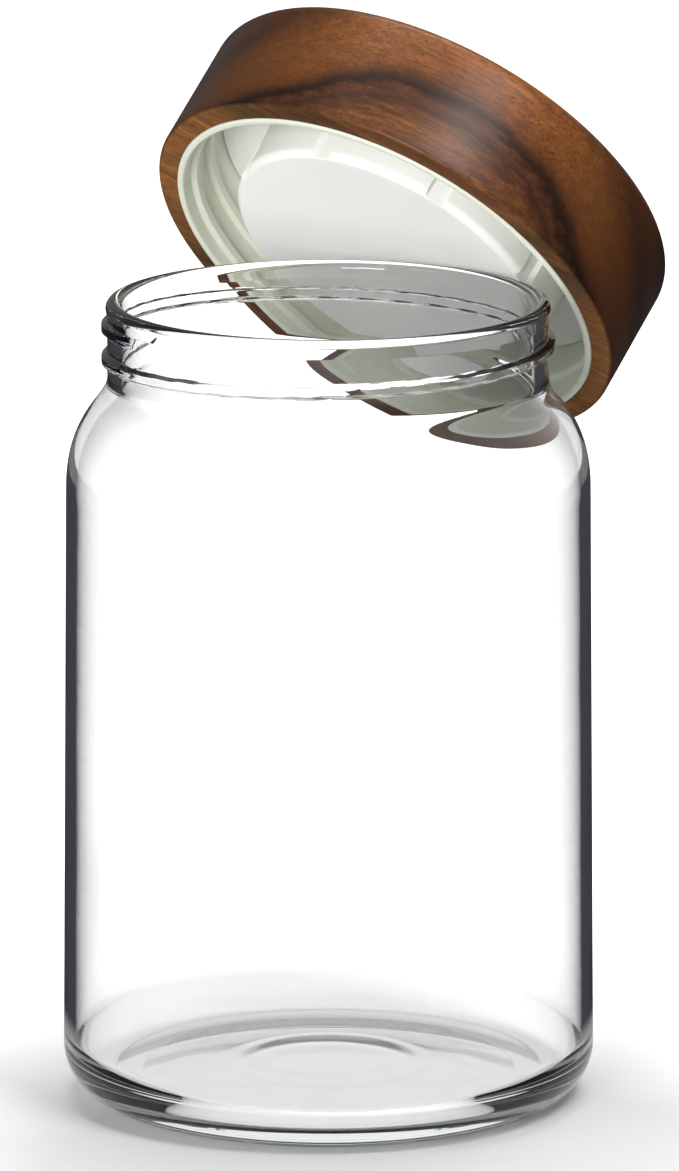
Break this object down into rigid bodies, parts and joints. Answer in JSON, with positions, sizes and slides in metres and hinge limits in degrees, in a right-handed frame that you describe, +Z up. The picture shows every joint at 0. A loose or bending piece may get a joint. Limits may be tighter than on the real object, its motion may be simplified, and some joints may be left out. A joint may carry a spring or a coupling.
{
  "type": "glass storage jar",
  "caption": "Clear wide-mouth glass storage jar with a threaded neck and a lined wooden screw lid with a plug inside, the lid taken off and leaning tilted on the back of the lip.",
  "frame": {"origin": "on the jar's axis, in the plane of the ring that the jar stands on", "axes": "+Z up along the jar's axis; +Y towards the side of the mouth that the lid leans on; +X to the right when looking along +Y"},
  "size_m": [0.1177, 0.1432, 0.2032],
  "materials": {
    "clear_glass": "clear moulded soda-lime glass",
    "white_foam": "soft white foamed polyethylene",
    "white_plastic": "moulded white polypropylene",
    "glue": "cured amber glue",
    "walnut_wood": "dark oiled hardwood with a satin surface"
  },
  "bodies": {
    "jar": {"glass_jar": "clear_glass"},
    "seal": {"sealing_ring": "white_foam"},
    "lid": {"inner_plug": "white_plastic", "threaded_liner": "white_plastic", "glue_bed": "glue", "wooden_cap": "walnut_wood"}
  },
  "joints": [
    {"name": "lid_lift", "type": "slide", "parent": "jar", "child": "seal", "axis": [0, 0, 1], "range_m": [0, 0.06]},
    {"name": "lid_turn", "type": "hinge", "parent": "seal", "child": "lid", "pos_m": [-0.0185, 0.04175, 0.15062], "axis": [0, 0.7431, 0.6691], "continuous": true}
  ]
}
